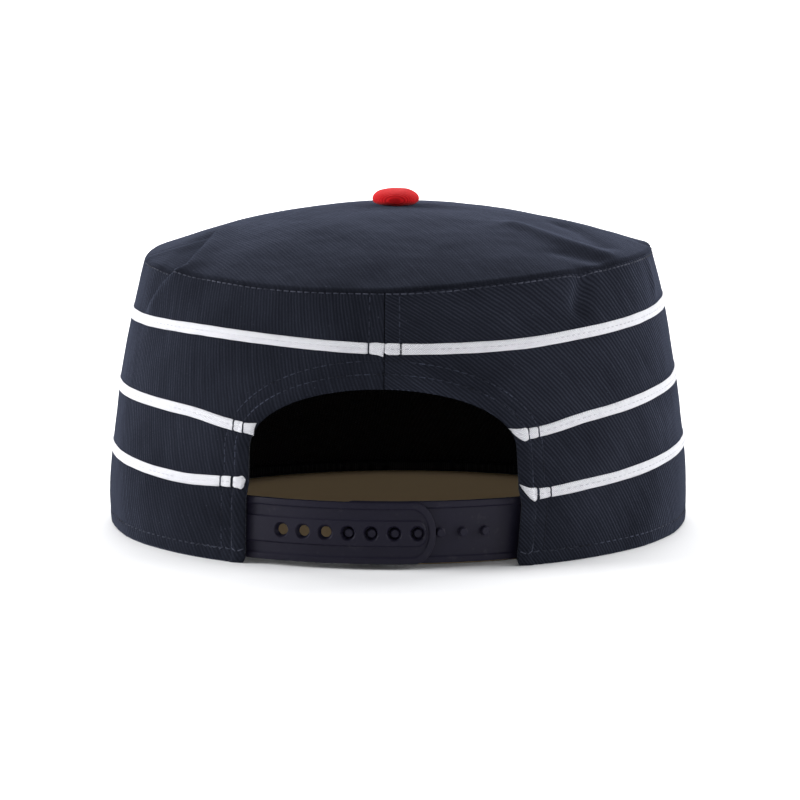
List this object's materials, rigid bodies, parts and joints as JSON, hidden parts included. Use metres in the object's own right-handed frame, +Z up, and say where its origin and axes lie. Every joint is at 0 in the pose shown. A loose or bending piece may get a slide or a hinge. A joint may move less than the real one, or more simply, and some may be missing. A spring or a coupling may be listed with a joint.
{
  "type": "pillbox cap",
  "caption": "Flat-topped pillbox cap with a peak, rows of braid round a tapered wall, a covered button on top and an arched back opening closed by a snap strap.",
  "frame": {"origin": "middle of the footprint of rim and peak, on the surface that the cap rests on", "axes": "+Z up, +Y the way that the wearer faces and the peak points, +X to the wearer's right"},
  "size_m": [0.183, 0.2676, 0.1052],
  "materials": {
    "navy_twill": "ribbed cotton twill",
    "white_braid": "flat soutache braid",
    "red_cloth": "ribbed cloth drawn over a button",
    "navy_plastic": "moulded, satin"
  },
  "bodies": {
    "root": {"crown_top": "navy_twill", "side_panel_left": "navy_twill", "side_panel_right": "navy_twill", "peak": "navy_twill", "top_button": "red_cloth", "braid_upper": "white_braid", "braid_middle": "white_braid", "braid_lower": "white_braid", "strap_holes": "navy_plastic", "strap_pegs": "navy_plastic"}
  },
  "joints": []
}
